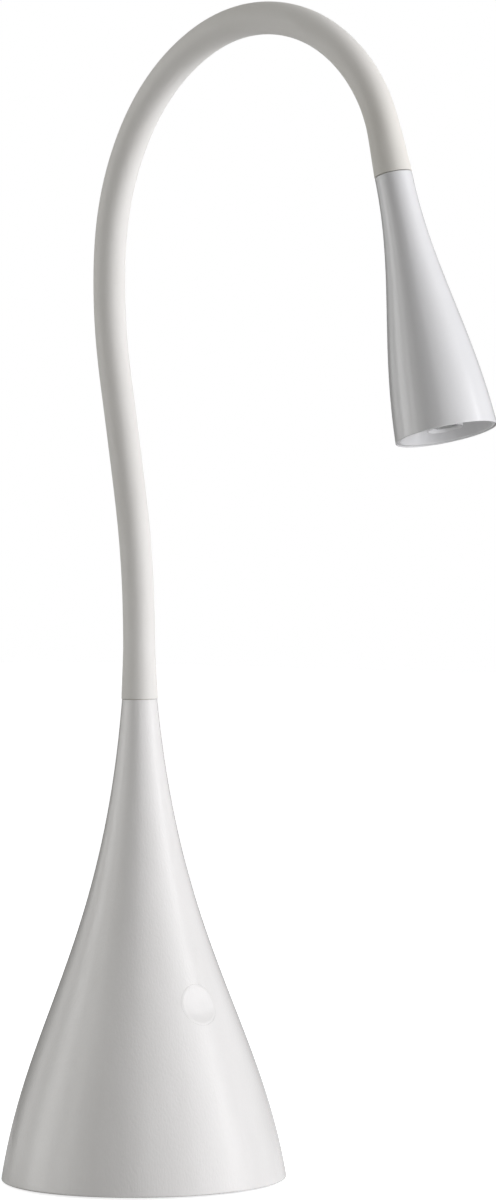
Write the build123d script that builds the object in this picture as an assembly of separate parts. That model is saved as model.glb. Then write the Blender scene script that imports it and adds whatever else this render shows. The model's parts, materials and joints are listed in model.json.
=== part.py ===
from build123d import *
import os
from math import atan, cos, degrees, radians, sin

# A gooseneck desk lamp: a trumpet base, a sleeved flexible neck and a small trumpet head.
# Millimetres. Z points up from the table, the neck bends in the XZ plane, the head reaches to +X.

# Base shell, turned about Z
foot_r = 57.5
base_height = 193.9
base_throat_r = 7.1
foot_lean = 9.2
foot_pull = 65.5
base_throat_lean = 5.0
base_throat_pull = 100.0
base_wall = 2.2
base_web = 36.5
rim_lift = 0.8

# Foot of the base
pad_t = 2.0
pad_margin = 4.6
plate_t = 2.0
ballast_t = 14.0
ballast_gap = 1.0
post_r = 3.5
post_count = 3
post_inset = 13.5
plate_screw_r = 1.5
plate_screw_head_r = 3.0
plate_screw_length = 9.0
ballast_screw_r = 2.0
ballast_screw_head_r = 3.8
ballast_screw_length = 9.0
ballast_screw_spacing = 50.0

# Driver electronics on the ballast
board_t = 1.6
board_length = 46.0
board_width = 34.0
board_screw_inset = 3.0
board_screw_r = 1.25
board_screw_head_r = 2.3
board_screw_head_t = 1.5
standoff_r = 2.6
standoff_height = 6.0
terminal_length = 8.0
terminal_width = 6.5
terminal_height = 7.0
coil_r = 6.0
coil_height = 8.0
capacitor_r = 4.0
capacitor_height = 11.0

# Push button on the base
button_height = 73.3
button_azimuth = -7.0
button_r = 8.5
button_travel = 1.2
button_dish = 0.7
button_dish_margin = 1.6
button_flange = 1.5
button_flange_t = 1.0
button_boss_wall = 2.5
button_boss_depth = 6.0
plunger_r = 1.6
plunger_length = 3.7
switch_side = 10.0
switch_height = 4.8
switch_board_length = 36.0
switch_board_width = 14.0
switch_post_r = 2.6
switch_post_spacing = 30.0
switch_screw_r = 1.0
switch_screw_head_r = 1.9
switch_screw_head_t = 1.3
switch_screw_length = 7.0
switch_lead_r = 0.7
switch_lead_drop = 8.0

# Cord gland in the rear wall
gland_height = 14.0
gland_neck_r = 4.1
gland_flange_r = 5.8
gland_flange_t = 1.2
gland_bore_r = 2.6

# Neck
neck_r = 6.4
sleeve_bore_r = 4.85
core_r = 4.75
core_bore_r = 2.4
lead_r = 0.9
lead_spacing = 2.2
link_length = 51.0
free_length = 10.0
cuff_length = 20.0
cuff_r = 7.35
cuff_edge = 0.5
link_bends = [8.7, 0.8, -14.3, -27.5, -33.8, -42.2, -44.4]
head_bend = -12.9
ball_r = 8.0

# End fittings of the neck
collar_r = 5.8
collar_length = 19.0
core_seat = 5.0
stem_r = 4.0
stem_bore_r = 2.4
stem_tail = 2.0
washer_r = 6.3
washer_t = 1.0
nut_flats = 11.0
nut_t = 4.0

# Head shell, turned about its own axis
head_length = 102.7
mouth_r = 19.7
mouth_lean = 2.9
mouth_pull = 41.0
head_throat_r = 7.25
head_throat_lean = 0.0
head_throat_pull = 37.5
head_wall = 1.6
head_web = 22.0
head_rim_wall = 0.9

# Light engine in the head, heights measured from the mouth
dish_rim = 0.5
dish_t = 1.2
dish_depth = 8.9
dish_flange = 0.6
dish_wall_run = 3.0
dish_floor_rise = 1.0
holder_front = 1.7
holder_r = 6.9
holder_wall = 1.0
lens_recess = 0.9
lens_rim_t = 1.2
lens_tip_r = 3.2
led_face = 14.3
led_board_r = 12.0
led_board_t = 1.6
led_side = 4.0
led_height = 0.8
led_dome_r = 1.5
led_screw_r = 1.0
led_screw_head_r = 1.9
led_screw_head_t = 1.3
led_screw_length = 5.0
led_screw_spacing = 18.6
sink_flange_t = 3.5
sink_shoulder = 1.6
sink_shoulder_t = 3.0
sink_length = 24.0
sink_core_r = 6.5
sink_fin_r = 11.0
sink_fin_t = 1.8
sink_fin_count = 5

# Clearances
running_gap = 0.3
seat_gap = 0.05


def upright(r, z0, z1, x=0, y=0):
    """A cylinder about a vertical axis, from height z0 to z1."""
    return Pos(x, y, z0) * Cylinder(r, z1 - z0, align=(Align.CENTER, Align.CENTER, Align.MIN))


def block(length, width, z0, z1, x=0, y=0):
    """A box centred on (x, y), from height z0 to z1."""
    return Pos(x, y, z0) * Box(length, width, z1 - z0, align=(Align.CENTER, Align.CENTER, Align.MIN))


def turned(*points):
    """A solid of revolution about Z from a closed outline of (radius, height) points."""
    outline = Polyline(*[(r, 0, z) for r, z in points], close=True)
    return revolve(make_face(outline), Axis.Z)


def pan_screw(head_r, head_t, shank_r, length):
    """A pan-head screw with its head's underside at height 0 and its shank above."""
    return turned((0, -head_t), (head_r, -head_t), (head_r, 0), (shank_r, 0), (shank_r, length), (0, length))


def flat_screw(head_r, shank_r, length):
    """A countersunk screw with its face at height 0 and its shank above."""
    cone_t = head_r - shank_r
    return turned((0, 0), (head_r, 0), (shank_r, cone_t), (shank_r, length), (0, length))


# Trumpet profiles: one cubic curve from a wide foot to a narrow throat.


def trumpet(foot, throat, inset=0):
    """Control points (radius, height) of a trumpet; foot and throat are (radius, height, lean, pull)."""
    r0, z0, lean0, pull0 = foot
    r1, z1, lean1, pull1 = throat
    r0 -= inset * cos(radians(lean0))
    z0 -= inset * sin(radians(lean0))
    r1 -= inset * cos(radians(lean1))
    z1 -= inset * sin(radians(lean1))
    near_foot = (r0 - pull0 * sin(radians(lean0)), z0 + pull0 * cos(radians(lean0)))
    near_throat = (r1 + pull1 * sin(radians(lean1)), z1 - pull1 * cos(radians(lean1)))
    return [(r0, z0), near_foot, near_throat, (r1, z1)]


def trumpet_at(points, z):
    """Radius of a trumpet at height z, and its lean inwards there in degrees."""
    low, high = 0.0, 1.0
    for _ in range(50):
        t = (low + high) / 2
        s = 1 - t
        weights = (s**3, 3 * s * s * t, 3 * s * t * t, t**3)
        if sum(w * p[1] for w, p in zip(weights, points)) < z:
            low = t
        else:
            high = t
    radius = sum(w * p[0] for w, p in zip(weights, points))
    slopes = (s * s, 2 * s * t, t * t)
    steps = [(b[0] - a[0], b[1] - a[1]) for a, b in zip(points, points[1:])]
    run = sum(w * step[0] for w, step in zip(slopes, steps))
    rise = sum(w * step[1] for w, step in zip(slopes, steps))
    return radius, degrees(atan(-run / rise))


def trumpet_solid(points):
    """The full turned body inside a trumpet profile."""
    (r0, z0), (r1, z1) = points[0], points[-1]
    curve = Bezier(*[(r, 0, z) for r, z in points])
    rest = Polyline((r1, 0, z1), (0, 0, z1), (0, 0, z0), (r0, 0, z0))
    return revolve(make_face([curve, *rest.edges()]), Axis.Z)


def trumpet_below(points, z):
    """The turned body inside a trumpet profile, cut off flat at height z."""
    widest = max(r for r, _ in points)
    return trumpet_solid(points) & upright(2 * widest, points[0][1] - 1, z)


# Neck route: spans of constant bend in the XZ plane, from the base's throat to the head's.


def along(span, s):
    """Place (x, z) and heading in degrees at distance s along a span."""
    x, z, heading, length, bend = span
    turn = bend * s / length
    if bend == 0:
        return x + s * cos(radians(heading)), z + s * sin(radians(heading)), heading
    r = length / radians(bend)
    centre_x = x - r * sin(radians(heading))
    centre_z = z + r * cos(radians(heading))
    end = heading + turn
    return centre_x + r * sin(radians(end)), centre_z - r * cos(radians(end)), end


def lay_spans(lengths_and_bends):
    """Spans (x, z, heading, length, bend) set end to end, starting upright at the base's throat."""
    spans = []
    place = (0, base_height, 90)
    for length, bend in lengths_and_bends:
        spans.append((*place, length, bend))
        place = along(spans[-1], length)
    return spans, place


def carried(span, face, s0, s1):
    """A flat face carried along a span from distance s0 to s1; the face's X lies along the lamp's Y."""
    x, z, heading = along(span, s0)
    forward = (cos(radians(heading)), 0, sin(radians(heading)))
    start = Plane((x, 0, z), x_dir=(0, 1, 0), z_dir=forward) * face
    length, bend = span[3:]
    if bend == 0:
        return extrude(start, s1 - s0)
    r = length / radians(bend)
    centre = (x - r * sin(radians(heading)), 0, z + r * cos(radians(heading)))
    side = (0, -1, 0) if bend > 0 else (0, 1, 0)
    return revolve(start, Axis(centre, side), abs(bend) * (s1 - s0) / length)


route = [(cuff_length, 0), (free_length, 0)]
route += [(link_length, bend) for bend in link_bends]
route += [(free_length, head_bend), (cuff_length, 0)]
spans, (seam_x, seam_z, head_heading) = lay_spans(route)
links = spans[2:-2]
sections = [spans[:2]] + [[span] for span in links] + [spans[-2:]]
hinges = [(section[0][0], section[0][1]) for section in sections[1:]]
last = len(sections) - 1


def ball(hinge, r):
    """A ball about a hinge point of the neck."""
    x, z = hinge
    return Pos(x, 0, z) * Sphere(r)


def jointed(index, body, face):
    """Gives a neck section its round end and its hollow end, concentric with the hinges it turns on."""
    if index < last:
        reach = ball_r + running_gap
        body += carried(sections[index + 1][0], face, 0, reach) & ball(hinges[index], ball_r)
    if index > 0:
        body -= ball(hinges[index - 1], ball_r + running_gap)
    return body


def neck_section(index, face, base_start=0, head_stop=cuff_length):
    """One section of a neck piece with the given cross-section, cut short inside the end fittings."""
    body = Part()
    for span in sections[index]:
        s0 = base_start if span is spans[0] else 0
        s1 = head_stop if span is spans[-1] else span[3]
        body += carried(span, face, s0, s1)
    return jointed(index, body, face)


# Frame of the head: Z runs from the mouth back to the neck.

head_dir = (cos(radians(head_heading)), 0, sin(radians(head_heading)))
mouth_x = seam_x + head_length * head_dir[0]
mouth_z = seam_z + head_length * head_dir[2]
head_place = Plane(
    (mouth_x, 0, mouth_z),
    x_dir=(-head_dir[2], 0, head_dir[0]),
    z_dir=(-head_dir[0], 0, -head_dir[2]),
)

base_foot = (foot_r, rim_lift, foot_lean, foot_pull)
base_throat = (base_throat_r, base_height, base_throat_lean, base_throat_pull)
base_outer = trumpet(base_foot, base_throat)
base_inner = trumpet(base_foot, base_throat, base_wall)
head_mouth = (mouth_r, 0, mouth_lean, mouth_pull)
head_throat = (head_throat_r, head_length, head_throat_lean, head_throat_pull)
head_outer = trumpet(head_mouth, head_throat)
head_inner = trumpet(head_mouth, head_throat, head_wall)
head_rim_inner = trumpet(head_mouth, head_throat, head_rim_wall)

# Heights in the base
plate_z = pad_t
plate_top = plate_z + plate_t
ballast_top = plate_top + ballast_t
board_z = ballast_top + standoff_height
board_top = board_z + board_t
terminal_top = board_top + terminal_height

# Places around the base
post_circle_r = foot_r - post_inset
ballast_r = post_circle_r - post_r - ballast_gap
plate_r = trumpet_at(base_inner, plate_top)[0] - running_gap
post_spots = PolarLocations(post_circle_r, post_count)
ballast_screw_spots = GridLocations(ballast_screw_spacing, 0, 2, 1)
board_corners = GridLocations(board_length - 2 * board_screw_inset, board_width - 2 * board_screw_inset, 2, 2)

# Frame of the button: Z points out of the shell, square to its wall, and X lies level.
button_radius, button_lean = trumpet_at(base_outer, button_height)
button_out = (cos(radians(button_lean)), 0, sin(radians(button_lean)))
button_turn = Rot(0, 0, button_azimuth)
button_place = Plane((button_radius, 0, button_height), x_dir=(0, 1, 0), z_dir=button_out)
cap_r = button_r - running_gap
flange_r = button_r + button_flange
flange_top = -button_boss_depth - running_gap
flange_bottom = flange_top - button_flange_t
plunger_end = flange_bottom - plunger_length
switch_top = flange_bottom - button_travel - 2 * running_gap
switch_bottom = switch_top - switch_height
switch_board_bottom = switch_bottom - board_t
switch_post_spots = GridLocations(switch_post_spacing, 0, 2, 1)

# Frame of the gland: Z points out of the rear wall, square to it.
gland_radius, gland_lean = trumpet_at(base_outer, gland_height)
gland_out = (-cos(radians(gland_lean)), 0, sin(radians(gland_lean)))
gland_place = Plane((-gland_radius, 0, gland_height), x_dir=(0, 1, 0), z_dir=gland_out)

# Heights in the head, from the mouth
dish_seat = dish_rim + dish_t
dish_top = dish_seat + dish_depth
led_board_top = led_face + led_board_t
sink_seat = led_board_top + sink_flange_t
sink_top = sink_seat + sink_length
sink_flange_r = trumpet_at(head_inner, sink_seat)[0] - seat_gap
led_screw_spots = GridLocations(led_screw_spacing, 0, 2, 1)


def by_button(shape):
    """Moves a shape from the button's frame onto the base."""
    return button_turn * (button_place * shape)


# Base shell


def base_shell():
    body = trumpet_solid(base_outer)
    inside = trumpet_below(base_inner, base_height - base_web)
    shell = body - inside
    post_top = base_height / 2
    posts = Part() + [spot * upright(post_r, plate_top, post_top) for spot in post_spots]
    boss = by_button(upright(button_r + button_boss_wall, -button_boss_depth, button_r))
    switch_posts = Part() + [spot * upright(switch_post_r, switch_bottom, 0) for spot in switch_post_spots]
    shell += (posts + boss + by_button(switch_posts)) & body
    screw_top = plate_z + plate_screw_length
    cuts = [spot * upright(plate_screw_r + seat_gap, plate_top, screw_top) for spot in post_spots]
    cuts += [by_button(upright(button_r, flange_top, button_r))]
    screw_end = switch_board_bottom + switch_screw_length
    for spot in switch_post_spots:
        cuts += [by_button(spot * upright(switch_screw_r + seat_gap, switch_bottom, screw_end))]
    cuts += [gland_place * upright(gland_neck_r + seat_gap, -2 * base_wall, base_wall)]
    cuts += [upright(stem_r + seat_gap, base_height - base_web, base_height)]
    return shell - cuts


# Foot, ballast and driver


def foot_pad():
    return upright(plate_r - pad_margin, 0, pad_t)


def plate_screws():
    screw = flat_screw(plate_screw_head_r, plate_screw_r, plate_screw_length)
    return Part() + [spot * Pos(0, 0, plate_z) * screw for spot in post_spots]


def ballast_screws():
    screw = flat_screw(ballast_screw_head_r, ballast_screw_r, ballast_screw_length)
    return Part() + [spot * Pos(0, 0, plate_z) * screw for spot in ballast_screw_spots]


def base_plate():
    plate = upright(plate_r, plate_z, plate_top)
    for spots, head_r, shank_r in (
        (post_spots, plate_screw_head_r, plate_screw_r),
        (ballast_screw_spots, ballast_screw_head_r, ballast_screw_r),
    ):
        hole = flat_screw(head_r + seat_gap, shank_r + seat_gap, 2 * plate_t)
        plate -= [spot * Pos(0, 0, plate_z) * hole for spot in spots]
    return plate


def ballast():
    disc = upright(ballast_r, plate_top, ballast_top)
    hole_top = plate_z + ballast_screw_length
    disc -= [spot * upright(ballast_screw_r + seat_gap, plate_top, hole_top) for spot in ballast_screw_spots]
    pilot_bottom = ballast_top - standoff_height
    disc -= [spot * upright(board_screw_r + seat_gap, pilot_bottom, ballast_top) for spot in board_corners]
    return disc


def board_standoffs():
    tube = upright(standoff_r, ballast_top, board_z) - upright(board_screw_r + seat_gap, ballast_top, board_z)
    return Part() + [spot * tube for spot in board_corners]


def board_screws():
    length = board_t + 2 * standoff_height
    screw = Rot(180, 0, 0) * pan_screw(board_screw_head_r, board_screw_head_t, board_screw_r, length)
    return Part() + [spot * Pos(0, 0, board_top) * screw for spot in board_corners]


def driver_board():
    board = block(board_length, board_width, board_z, board_top)
    return board - [spot * upright(board_screw_r + seat_gap, board_z, board_top) for spot in board_corners]


def terminal(x=0):
    return block(terminal_width, terminal_length, board_top, terminal_top, x)


def driver_components():
    part_x = -board_length / 4
    front = button_turn * terminal(switch_lead_x())
    rear = terminal(terminal_width / 2 - board_length / 2 + board_screw_inset)
    coil_y = board_width / 2 - coil_r
    coil = upright(coil_r, board_top, board_top + coil_height, part_x, coil_y)
    capacitor_y = capacitor_r - board_width / 2
    capacitor = upright(capacitor_r, board_top, board_top + capacitor_height, part_x, capacitor_y)
    return Part() + [terminal(), front, rear, coil, capacitor]


# Button and switch


def button_cap():
    body = by_button(upright(cap_r, flange_bottom, button_r)) & trumpet_solid(base_outer)
    dish_r = cap_r - button_dish_margin
    bowl_r = (dish_r**2 + button_dish**2) / (2 * button_dish)
    body -= by_button(Pos(0, 0, bowl_r - button_dish) * Sphere(bowl_r))
    flange = upright(flange_r, flange_bottom, flange_top)
    plunger = upright(plunger_r, plunger_end, flange_bottom)
    return body + by_button(flange + plunger)


def switch_body():
    case = block(switch_side, switch_side, switch_bottom, switch_top)
    hole_bottom = plunger_end - button_travel - running_gap
    return by_button(case - upright(plunger_r + running_gap, hole_bottom, switch_top))


def switch_board():
    board = block(switch_board_length, switch_board_width, switch_board_bottom, switch_bottom)
    hole = upright(switch_screw_r + seat_gap, switch_board_bottom, switch_bottom)
    return by_button(board - [spot * hole for spot in switch_post_spots])


def switch_screws():
    screw = pan_screw(switch_screw_head_r, switch_screw_head_t, switch_screw_r, switch_screw_length)
    return by_button(Part() + [spot * Pos(0, 0, switch_board_bottom) * screw for spot in switch_post_spots])


def switch_lead_route():
    """Corner points (x, z) of the switch leads before the turn to the button's azimuth."""
    back = switch_board_bottom
    start = (button_radius + back * button_out[0], button_height + back * button_out[2])
    corner = (start[0] - switch_lead_drop * button_out[0], start[1] - switch_lead_drop * button_out[2])
    return start, corner


def switch_lead_x():
    return switch_lead_route()[1][0]


def switch_leads():
    start, corner = switch_lead_route()
    end = (corner[0], terminal_top)
    points = [(x, 0, z) for x, z in (start, corner, end)]
    path = FilletPolyline(*points, radius=switch_lead_drop / 2)
    back = tuple(-c for c in button_out)
    wires = [Pos(side * 2 * switch_lead_r, 0) * Circle(switch_lead_r) for side in (-1, 1)]
    plane = Plane(points[0], x_dir=(0, 1, 0), z_dir=back)
    return button_turn * (Part() + [sweep(plane * wire, path) for wire in wires])


# Cord gland


def cord_gland(shell):
    inner = -base_wall - gland_flange_t
    body = upright(gland_neck_r, inner, gland_flange_t)
    body += upright(gland_flange_r, inner, -base_wall)
    body += upright(gland_flange_r, -base_wall / 2, gland_flange_t)
    body -= upright(gland_bore_r, inner, gland_flange_t)
    return gland_place * body - shell


# End fittings, the same at both ends: upright in the frame of the shell whose throat they fill.


def ferrule(seam, web):
    stem_end = seam - web - washer_t - nut_t - stem_tail
    body = upright(stem_r, stem_end, seam) + upright(collar_r, seam, seam + collar_length)
    body -= upright(stem_bore_r, stem_end, seam + core_seat)
    return body - upright(core_r + seat_gap, seam + core_seat, seam + collar_length)


def fitting_washer(seam, web):
    top = seam - web
    return upright(washer_r, top - washer_t, top) - upright(stem_r + seat_gap, top - washer_t, top)


def fitting_nut(seam, web):
    top = seam - web - washer_t
    prism = extrude(RegularPolygon(nut_flats / 2, 6, major_radius=False), nut_t)
    return Pos(0, 0, top - nut_t) * prism - upright(stem_r + seat_gap, top - nut_t, top)


def cuff(seam):
    """End of the sleeve, swollen over the ferrule's collar."""
    bore = collar_r + seat_gap
    step = seam + collar_length + running_gap
    end = seam + cuff_length
    return turned(
        (bore, seam),
        (cuff_r - cuff_edge, seam),
        (cuff_r, seam + cuff_edge),
        (neck_r, end),
        (sleeve_bore_r, end),
        (sleeve_bore_r, step),
        (bore, step),
    )


# Neck pieces

sleeve_face = Circle(neck_r) - Circle(sleeve_bore_r)
core_face = Circle(core_r) - Circle(core_bore_r)
lead_faces = [Pos(side * lead_spacing / 2, 0) * Circle(lead_r) for side in (-1, 1)]


def neck_sleeve(index):
    if index == 0:
        body = cuff(base_height) + carried(spans[1], sleeve_face, 0, free_length)
        return jointed(index, body, sleeve_face)
    if index == last:
        body = head_place * cuff(head_length) + carried(spans[-2], sleeve_face, 0, free_length)
        return jointed(index, body, sleeve_face)
    return neck_section(index, sleeve_face)


def neck_core(index):
    return neck_section(index, core_face, core_seat, cuff_length - core_seat)


def neck_leads(index):
    """The pair of wires in one section, run on to the driver board and to the light's board."""
    wires = []
    for face in lead_faces:
        wire = neck_section(index, face)
        if index == 0:
            wire += carried(spans[0], face, terminal_top - base_height, 0)
        if index == last:
            wire += carried(spans[-1], face, cuff_length, cuff_length + head_length - led_board_top)
        wires.append(wire)
    return Part() + wires


# Head, modelled upright on its mouth


def head_shell():
    shell = trumpet_solid(head_outer) - trumpet_below(head_inner, head_length - head_web)
    shoulder_r = trumpet_at(head_inner, sink_seat)[0] - sink_shoulder
    shoulder_top = sink_seat + sink_shoulder_t
    ring = trumpet_below(head_outer, shoulder_top) - upright(2 * mouth_r, -1, sink_seat)
    shell += ring - upright(shoulder_r, sink_seat, shoulder_top)
    shell -= trumpet_below(head_rim_inner, dish_seat)
    return shell - upright(stem_r + seat_gap, head_length - head_web, head_length)


def reflector_dish():
    """A steep-walled bowl with a flat rim and a nearly flat floor, open in the middle for the lens holder."""
    rim_r = trumpet_at(head_rim_inner, dish_seat)[0] - seat_gap
    hole_r = holder_r + seat_gap
    wall_r = rim_r - dish_flange
    floor_r = wall_r - dish_wall_run
    floor_z = dish_top - dish_floor_rise
    return turned(
        (rim_r, dish_rim),
        (rim_r, dish_seat),
        (wall_r, dish_seat),
        (floor_r, floor_z),
        (hole_r, dish_top),
        (hole_r, dish_top - dish_t),
        (floor_r - dish_t, floor_z - dish_t),
        (wall_r - dish_t, dish_rim),
    )


def lens_holder():
    return upright(holder_r, holder_front, led_face) - upright(holder_r - holder_wall, holder_front, led_face)


def lens():
    rim_r = holder_r - holder_wall - seat_gap
    front = holder_front + lens_recess
    tip = led_face - led_height - led_dome_r - running_gap
    return turned((0, front), (rim_r, front), (rim_r, front + lens_rim_t), (lens_tip_r, tip), (0, tip))


def led_emitter():
    chip = block(led_side, led_side, led_face - led_height, led_face)
    dome = Pos(0, 0, led_face - led_height) * Sphere(led_dome_r)
    return chip + (dome & upright(led_dome_r, led_face - led_height - led_dome_r, led_face))


def led_board():
    hole = upright(led_screw_r + seat_gap, led_face, led_board_top)
    return upright(led_board_r, led_face, led_board_top) - [spot * hole for spot in led_screw_spots]


def led_screws():
    screw = pan_screw(led_screw_head_r, led_screw_head_t, led_screw_r, led_screw_length)
    return Part() + [spot * Pos(0, 0, led_face) * screw for spot in led_screw_spots]


def heat_sink():
    body = upright(sink_flange_r, led_board_top, sink_seat) + upright(sink_core_r, sink_seat, sink_top)
    pitch = sink_length / sink_fin_count
    for count in range(1, sink_fin_count + 1):
        fin_top = sink_seat + count * pitch
        body += upright(sink_fin_r, fin_top - sink_fin_t, fin_top)
    body -= upright(core_bore_r, led_board_top, sink_top)
    hole_top = led_face + led_screw_length
    return body - [spot * upright(led_screw_r + seat_gap, led_board_top, hole_top) for spot in led_screw_spots]


# All pieces by name

shell = base_shell()
pieces = {
    "base_shell": shell,
    "foot_pad": foot_pad(),
    "base_plate": base_plate(),
    "ballast": ballast(),
    "plate_screws": plate_screws(),
    "ballast_screws": ballast_screws(),
    "driver_board": driver_board(),
    "driver_components": driver_components(),
    "board_standoffs": board_standoffs(),
    "board_screws": board_screws(),
    "button_cap": button_cap(),
    "switch_body": switch_body(),
    "switch_board": switch_board(),
    "switch_screws": switch_screws(),
    "switch_leads": switch_leads(),
    "cord_gland": cord_gland(shell),
    "base_ferrule": ferrule(base_height, base_web),
    "base_washer": fitting_washer(base_height, base_web),
    "base_nut": fitting_nut(base_height, base_web),
    "head_ferrule": head_place * ferrule(head_length, head_web),
    "head_washer": head_place * fitting_washer(head_length, head_web),
    "head_nut": head_place * fitting_nut(head_length, head_web),
    "head_shell": head_place * head_shell(),
    "reflector_dish": head_place * reflector_dish(),
    "lens_holder": head_place * lens_holder(),
    "lens": head_place * lens(),
    "led_emitter": head_place * led_emitter(),
    "led_board": head_place * led_board(),
    "led_screws": head_place * led_screws(),
    "heat_sink": head_place * heat_sink(),
}
for index in range(len(sections)):
    pieces[f"neck_sleeve_{index}"] = neck_sleeve(index)
    pieces[f"neck_core_{index}"] = neck_core(index)
    pieces[f"neck_leads_{index}"] = neck_leads(index)

os.makedirs("parts", exist_ok=True)
for name, piece in pieces.items():
    export_step(piece, f"parts/{name}.step")

print("hinges (x, z):", [(round(x, 2), round(z, 2)) for x, z in hinges])
print("headings at hinges:", [round(section[0][2], 2) for section in sections[1:]])
print("head seam:", round(seam_x, 2), round(seam_z, 2), "heading", round(head_heading, 2))
print("mouth centre:", round(mouth_x, 2), round(mouth_z, 2))
print("button centre and normal:", round(button_radius, 2), button_height, "lean", round(button_lean, 2))
print("gland centre:", round(-gland_radius, 2), gland_height, "lean", round(gland_lean, 2))
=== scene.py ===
import json
from math import cos, pi, radians, sin

import bmesh
import bpy
import numpy as np
from mathutils import Matrix, Vector


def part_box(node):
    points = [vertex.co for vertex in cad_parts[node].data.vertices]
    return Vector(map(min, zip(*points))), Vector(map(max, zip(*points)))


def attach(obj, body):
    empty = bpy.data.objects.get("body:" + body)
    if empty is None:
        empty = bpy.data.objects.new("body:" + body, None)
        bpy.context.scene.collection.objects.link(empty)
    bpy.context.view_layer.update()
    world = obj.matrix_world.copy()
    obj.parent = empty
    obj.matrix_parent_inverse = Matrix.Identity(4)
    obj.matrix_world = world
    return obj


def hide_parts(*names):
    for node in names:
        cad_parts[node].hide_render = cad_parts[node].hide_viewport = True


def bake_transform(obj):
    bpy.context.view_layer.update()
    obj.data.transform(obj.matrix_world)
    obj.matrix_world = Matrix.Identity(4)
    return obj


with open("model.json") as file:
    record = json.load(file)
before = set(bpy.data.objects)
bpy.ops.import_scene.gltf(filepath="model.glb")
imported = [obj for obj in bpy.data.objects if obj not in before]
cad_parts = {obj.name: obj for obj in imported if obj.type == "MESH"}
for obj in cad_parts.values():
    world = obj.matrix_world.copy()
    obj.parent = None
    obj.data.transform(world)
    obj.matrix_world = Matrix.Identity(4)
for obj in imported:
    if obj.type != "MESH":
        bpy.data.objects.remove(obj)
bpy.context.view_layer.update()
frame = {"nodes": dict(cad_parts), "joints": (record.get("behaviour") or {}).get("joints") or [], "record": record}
nodes = frame["nodes"]
record = frame["record"]
mm = 0.001


# Meshes from whole arrays

mergeGap = 1e-7
sharpAngle = radians(50)


# quads between neighbouring lines of an index grid; a closed direction joins its last line to its first
def quadsOf(index, closeRows=False, closeCols=False):
    if closeRows:
        index = np.concatenate([index, index[:1]])
    if closeCols:
        index = np.concatenate([index, index[:, :1]], axis=1)
    corners = [index[:-1, :-1], index[:-1, 1:], index[1:, 1:], index[1:, :-1]]
    return np.stack(corners, axis=-1).reshape(-1, 4)


def addObject(name, data):
    made = bpy.data.objects.new(name, data)
    bpy.context.scene.collection.objects.link(made)
    return made


# one smooth piece: doubles at seams and poles are merged, then all faces turn outwards
def newPiece(name, points, quads, material):
    mesh = bpy.data.meshes.new(name)
    mesh.vertices.add(len(points))
    mesh.vertices.foreach_set("co", np.asarray(points, np.float32).ravel())
    mesh.loops.add(quads.size)
    mesh.loops.foreach_set("vertex_index", quads.astype(np.int32).ravel())
    mesh.polygons.add(len(quads))
    mesh.polygons.foreach_set("loop_start", np.arange(0, quads.size, 4, dtype=np.int32))
    mesh.update(calc_edges=True)
    shape = bmesh.new()
    shape.from_mesh(mesh)
    bmesh.ops.remove_doubles(shape, verts=shape.verts, dist=mergeGap)
    bmesh.ops.recalc_face_normals(shape, faces=shape.faces)
    shape.to_mesh(mesh)
    shape.free()
    mesh.shade_smooth()
    mesh.set_sharp_from_angle(angle=sharpAngle)
    mesh.materials.append(material)
    return addObject(name, mesh)


# several grids of points, each with its own closed directions, as one piece
def pieceFromGrids(name, grids, material):
    points, quads, count = [], [], 0
    for grid, closeRows, closeCols in grids:
        rows, cols = grid.shape[:2]
        index = np.arange(count, count + rows * cols).reshape(rows, cols)
        points.append(grid.reshape(-1, 3))
        quads.append(quadsOf(index, closeRows, closeCols))
        count += rows * cols
    return newPiece(name, np.concatenate(points), np.concatenate(quads), material)


def finishPiece(piece, body, slot, *replaced):
    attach(piece, body)
    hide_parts(*replaced)


# Outlines and turned shapes

def unit(vector):
    return vector / np.linalg.norm(vector)


# outline of straight sides whose corners (a, b, fillet) become arcs tangent to both sides,
# with one extra point just outside each arc so that the shading stays crisp
def roundedOutline(corners, closed=True, steps=6, guard=1.3):
    spots = np.array([corner[:2] for corner in corners], float)
    outline = []
    for i, corner in enumerate(corners):
        here, fillet = spots[i], corner[2]
        if fillet == 0 or (not closed and i in (0, len(corners) - 1)):
            outline.append(here[None])
            continue
        back = unit(spots[i - 1] - here)
        ahead = unit(spots[(i + 1) % len(corners)] - here)
        half = np.arccos(np.clip(back @ ahead, -1, 1)) / 2
        cut = fillet / np.tan(half)
        centre = here + unit(back + ahead) * fillet / np.sin(half)
        first, last = here + back * cut - centre, here + ahead * cut - centre
        sweep = pi - 2 * half
        share = np.linspace(0, 1, steps)[:, None]
        arc = (np.sin((1 - share) * sweep) * first + np.sin(share * sweep) * last) / np.sin(sweep)
        outline += [(here + back * cut * guard)[None], centre + arc, (here + ahead * cut * guard)[None]]
    return np.concatenate(outline)


# places local (x, y, z) arrays in the lamp by a 4 x 4 matrix
def placed(place, x, y, z):
    local = np.stack(np.broadcast_arrays(x, y, z), axis=-1)
    return local @ place[:3, :3].T + place[:3, 3]


# frame with its origin at a spot, its z along a direction and its y across
def placeAt(origin, zDirection, yDirection):
    place = np.eye(4)
    place[:3, 2] = unit(np.array(zDirection, float))
    place[:3, 1] = unit(np.array(yDirection, float))
    place[:3, 0] = np.cross(place[:3, 1], place[:3, 2])
    place[:3, 3] = origin
    return place


# cosines and sines of evenly spaced turns
def circle(around, phase=0.0):
    turn = phase + np.linspace(0, 2 * pi, around, endpoint=False)
    return np.cos(turn), np.sin(turn)


# surface of revolution: a (radius, height) outline carried round its axis
def turnedGrid(outline, place=np.eye(4), around=96, phase=0.0):
    across, up = circle(around, phase)
    radius, height = outline[:, :1], outline[:, 1:]
    return placed(place, radius * across, radius * up, height)


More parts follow.
